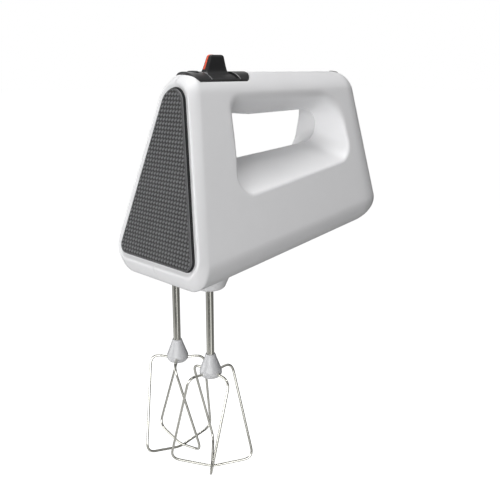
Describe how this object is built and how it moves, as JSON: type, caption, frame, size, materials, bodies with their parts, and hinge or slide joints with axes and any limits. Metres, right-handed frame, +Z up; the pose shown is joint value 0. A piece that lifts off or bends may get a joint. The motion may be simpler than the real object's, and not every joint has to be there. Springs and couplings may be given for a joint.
{
  "type": "hand mixer",
  "caption": "Hand-held electric food mixer with a tapered split housing, finger opening, thumb selector, eject button and two removable twisted wire beaters.",
  "frame": {"origin": "centre of the handle grip, on the seam plane, 15 mm below the handle top and 72 mm behind the spindle plane", "axes": "+Z up, -Y towards the textured front panel, +X towards the right side seen from behind; beaters hang along -Z"},
  "size_m": [0.0908, 0.1954, 0.2796],
  "materials": {
    "shell_white": "satin white injection-moulded plastic",
    "trim_black": "satin black plastic",
    "panel_grey": "basket-weave texture, dark grey plastic",
    "stripe_orange": "orange-red pointer stripe",
    "cap_grey": "grey plastic plug",
    "hub_grey": "light grey moulded hub",
    "steel": "bright nickel-plated steel",
    "dark_steel": "laminated or zinc-plated steel",
    "copper": "enamelled copper winding",
    "brass": "brass or sintered bronze",
    "carbon": "graphite brush",
    "nylon": "natural nylon",
    "board": "fibre circuit board",
    "red_plastic": "red insulation"
  },
  "bodies": {
    "housing": {"right_shell": "shell_white", "left_shell": "shell_white", "casing_screw_1": "dark_steel", "casing_screw_2": "dark_steel", "casing_screw_3": "dark_steel", "casing_screw_4": "dark_steel", "casing_screw_5": "dark_steel", "panel_carrier": "trim_black", "front_panel": "panel_grey", "switch_saddle": "trim_black", "switch_board": "board", "spring_seat": "nylon", "eject_spring": "steel", "screw_cap": "cap_grey", "cord_bushing": "trim_black", "stator_core": "dark_steel", "field_coil_upper": "copper", "field_coil_lower": "copper", "front_bracket": "dark_steel", "middle_bearing": "brass", "rear_bracket": "dark_steel", "rear_bearing": "brass", "brush_holder_right": "brass", "brush_holder_left": "brass", "carbon_brush_right": "carbon", "carbon_brush_left": "carbon", "gearbox_base": "nylon", "gearbox_cover": "nylon", "front_bearing": "brass", "front_bearing_block": "nylon", "spindle_bush_right": "brass", "spindle_bush_left": "brass", "control_board": "board", "capacitor": "red_plastic", "terminal_block": "nylon", "switch_lead": "red_plastic"},
    "rotor": {"worm_shaft": "steel", "armature_core": "dark_steel", "armature_winding_front": "copper", "armature_winding_rear": "copper", "commutator": "copper", "cooling_fan": "trim_black"},
    "spindle_right": {"worm_wheel_right": "nylon", "spindle_sleeve_right": "steel"},
    "spindle_left": {"worm_wheel_left": "nylon", "spindle_sleeve_left": "steel"},
    "beater_right": {"beater_shaft_right": "steel", "beater_hub_right": "hub_grey", "beater_wire_right_large": "steel", "beater_wire_right_small": "steel"},
    "beater_left": {"beater_shaft_left": "steel", "beater_hub_left": "hub_grey", "beater_wire_left_large": "steel", "beater_wire_left_small": "steel"},
    "selector": {"speed_selector": "trim_black", "selector_stripe": "stripe_orange", "contact_arm": "brass"},
    "ejector": {"eject_button": "trim_black", "push_rod": "nylon", "ejector_fork": "nylon"}
  },
  "joints": [
    {"name": "rotor_spin", "type": "hinge", "parent": "housing", "child": "rotor", "pos_m": [0, -0.072, -0.08], "axis": [0, 1, 0], "continuous": true},
    {"name": "spindle_right_spin", "type": "hinge", "parent": "housing", "child": "spindle_right", "pos_m": [0.0181, -0.072, -0.08], "axis": [0, 0, 1], "continuous": true},
    {"name": "spindle_left_spin", "type": "hinge", "parent": "housing", "child": "spindle_left", "pos_m": [-0.0181, -0.072, -0.08], "axis": [0, 0, 1], "continuous": true},
    {"name": "beater_right_pull", "type": "slide", "parent": "spindle_right", "child": "beater_right", "axis": [0, 0, -1], "range_m": [0, 0.057]},
    {"name": "beater_left_pull", "type": "slide", "parent": "spindle_left", "child": "beater_left", "axis": [0, 0, -1], "range_m": [0, 0.057]},
    {"name": "selector_turn", "type": "hinge", "parent": "housing", "child": "selector", "pos_m": [0, -0.052, -0.0025], "axis": [0, 1, 0], "range_deg": [-14, 14]},
    {"name": "eject_press", "type": "slide", "parent": "housing", "child": "ejector", "axis": [0, 0, -1], "range_m": [0, 0.006], "stiffness_N_per_m": 500, "springref_m": -0.003, "deforming": ["eject_spring"]}
  ],
  "couplings": [
    {"joint": "spindle_right_spin", "follows": "rotor_spin", "ratio": 0.071429},
    {"joint": "spindle_left_spin", "follows": "rotor_spin", "ratio": -0.071429}
  ]
}
